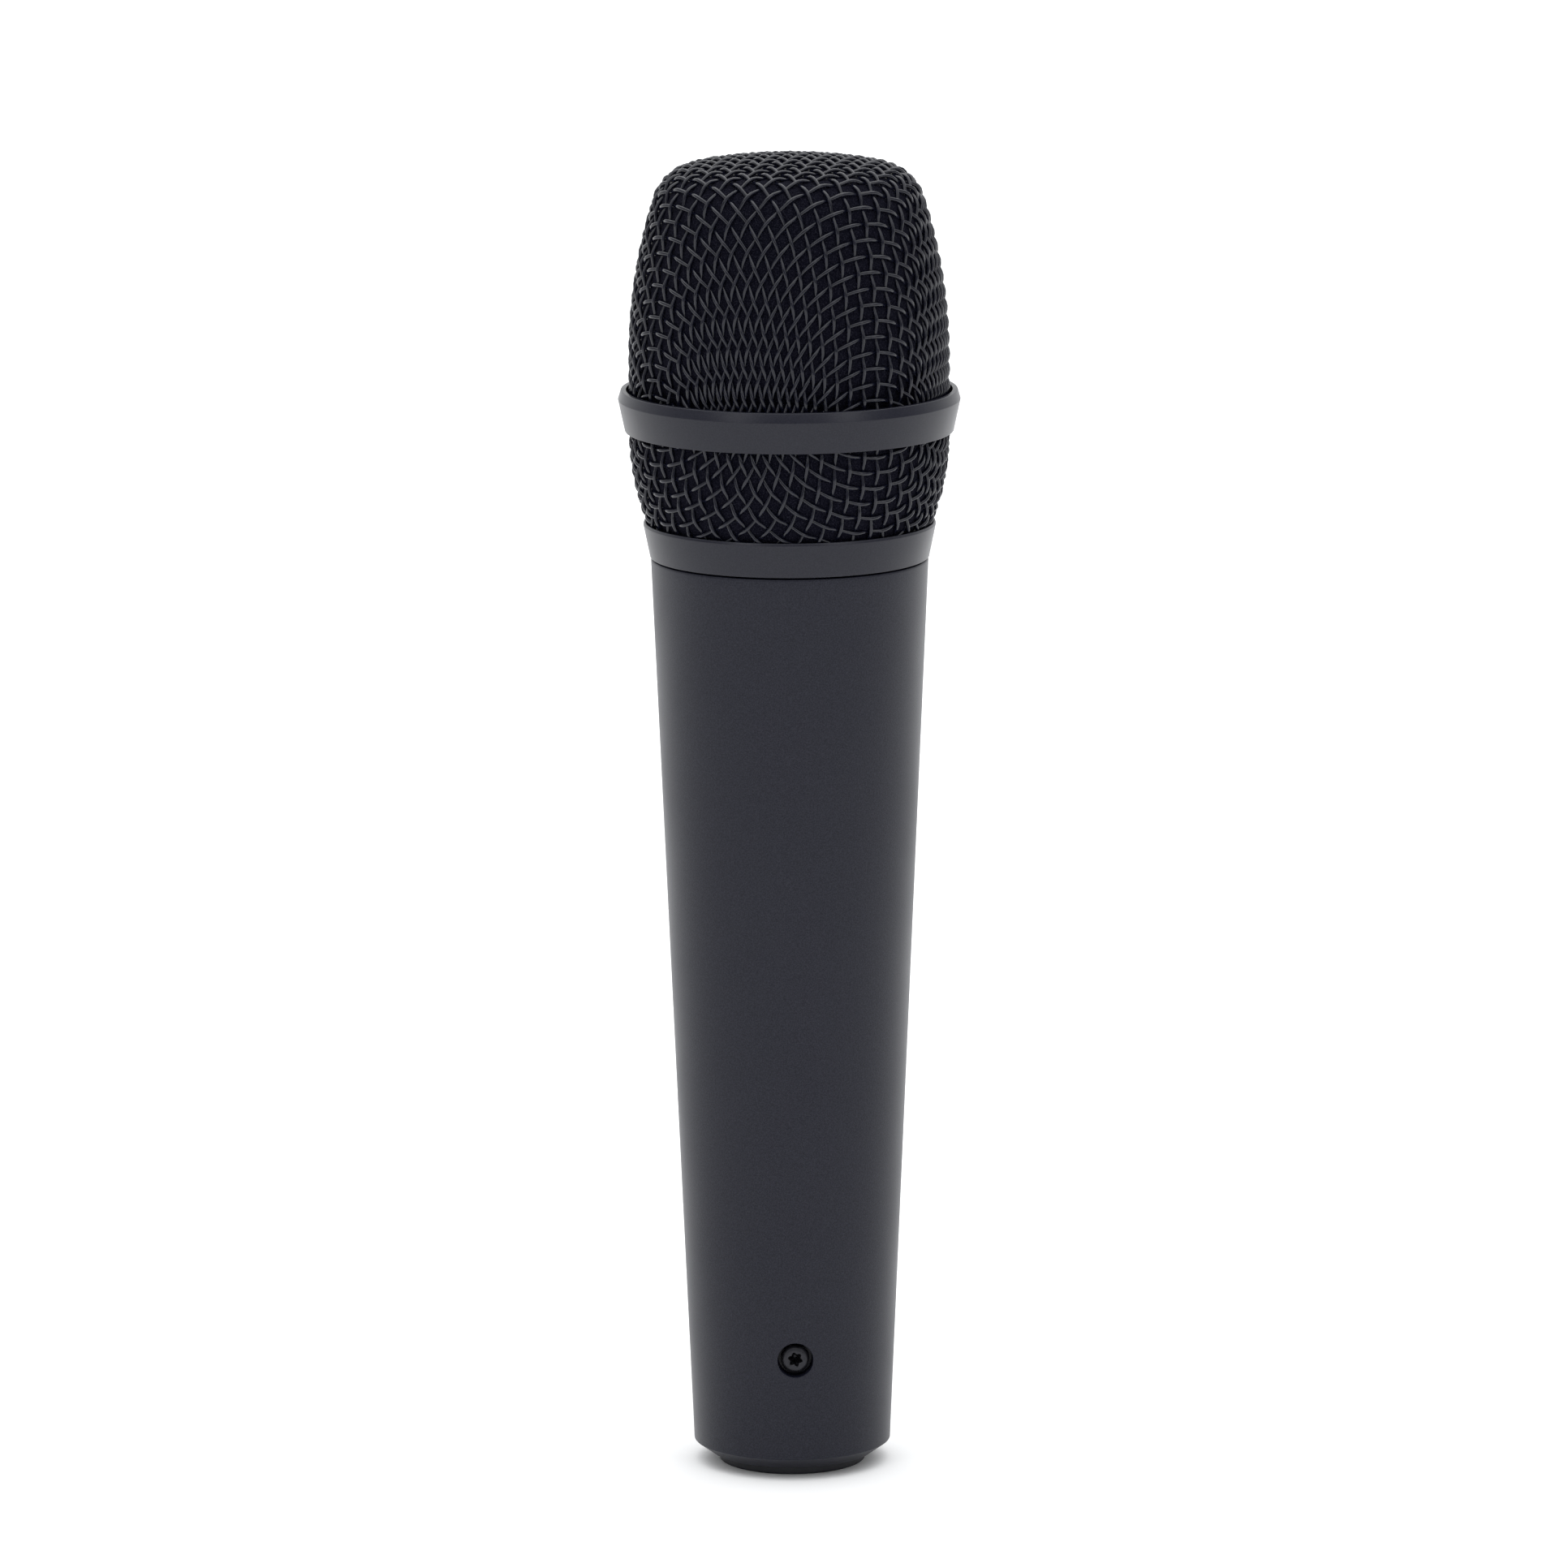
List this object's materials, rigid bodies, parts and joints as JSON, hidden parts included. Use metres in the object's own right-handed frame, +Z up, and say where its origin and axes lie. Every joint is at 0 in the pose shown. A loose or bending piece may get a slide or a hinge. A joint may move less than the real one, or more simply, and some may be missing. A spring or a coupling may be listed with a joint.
{
  "type": "dynamic microphone",
  "caption": "Hand-held moving-coil vocal microphone with a woven wire grille, tapered satin black handle and three-pin outlet.",
  "frame": {"origin": "middle of the outlet's lower rim, on the surface that the microphone stands on", "axes": "+Z up along the microphone towards the grille, -Y out of the handle through the retaining screw"},
  "size_m": [0.048, 0.048, 0.187],
  "materials": {
    "handle_paint": "satin black coating, finely textured",
    "grille_trim": "satin black coating",
    "grille_wire": "semi-gloss black coated woven wire",
    "windscreen_foam": "open-cell black foam",
    "black_rubber": "matte",
    "outlet_shell": "satin black coating",
    "outlet_insert": "moulded",
    "contact_silver": "bright silver plating",
    "screw_black": "black oxide",
    "capsule_plastic": "moulded",
    "motor_steel": "zinc plated",
    "magnet_nickel": "nickel plated",
    "diaphragm_film": "clear polyester film",
    "enamelled_copper": "enamelled winding",
    "damping_felt": "wool felt",
    "terminal_laminate": "phenolic laminate",
    "bobbin_nylon": "moulded nylon",
    "lead_red": "PVC insulation",
    "lead_black": "PVC insulation",
    "lead_green": "PVC insulation"
  },
  "bodies": {
    "handle": {"handle_body": "handle_paint", "xlr_housing": "outlet_shell", "xlr_insert": "outlet_insert", "xlr_pin_1": "contact_silver", "xlr_pin_2": "contact_silver", "xlr_pin_3": "contact_silver", "transformer_core": "motor_steel", "transformer_bobbin": "bobbin_nylon", "transformer_winding": "enamelled_copper", "transformer_sleeve": "windscreen_foam", "output_lead_hot": "lead_red", "output_lead_cold": "lead_black", "ground_lead": "lead_green", "capsule_lead_hot": "lead_red", "capsule_lead_cold": "lead_black", "carrier_ring": "capsule_plastic", "shock_mount": "black_rubber"},
    "seal": {"grille_seal": "black_rubber"},
    "grille": {"grille_ring": "grille_trim", "grille_collar": "grille_trim", "grille_mesh_upper": "grille_wire", "grille_mesh_lower": "grille_wire", "foam_windscreen": "windscreen_foam"},
    "capsule": {"capsule_housing": "capsule_plastic", "yoke": "motor_steel", "magnet": "magnet_nickel", "pole_piece": "motor_steel", "diaphragm_ring": "capsule_plastic", "front_cap": "capsule_plastic", "rear_chamber": "capsule_plastic", "damping_felt": "damping_felt", "terminal_board": "terminal_laminate", "terminal_hot": "contact_silver", "terminal_cold": "contact_silver"},
    "moving_coil": {"diaphragm": "diaphragm_film", "voice_coil": "enamelled_copper"},
    "retaining_screw": {"xlr_screw": "screw_black"}
  },
  "joints": [
    {"name": "grille_lift", "type": "slide", "parent": "handle", "child": "seal", "axis": [0, 0, 1], "range_m": [0, 0.0045]},
    {"name": "grille_unscrew", "type": "hinge", "parent": "seal", "child": "grille", "pos_m": [0, 0, 0.13], "axis": [0, 0, 1], "range_deg": [0, 1080]},
    {"name": "capsule_float", "type": "slide", "parent": "handle", "child": "capsule", "axis": [0, 0, 1], "range_m": [-0.0008, 0.0008], "stiffness_N_per_m": 1500, "springref_m": 0.00018, "deforming": ["shock_mount", "capsule_lead_hot", "capsule_lead_cold"]},
    {"name": "diaphragm_travel", "type": "slide", "parent": "capsule", "child": "moving_coil", "axis": [0, 0, 1], "range_m": [-0.0003, 0.0003], "stiffness_N_per_m": 600, "springref_m": 0.00002},
    {"name": "screw_turn", "type": "hinge", "parent": "handle", "child": "retaining_screw", "pos_m": [0, -0.0125, 0.01765], "axis": [0, -1, 0], "range_deg": [0, 720]}
  ],
  "couplings": [
    {"joint": "grille_lift", "follows": "grille_unscrew", "m_per_rad": 0.00023873}
  ]
}
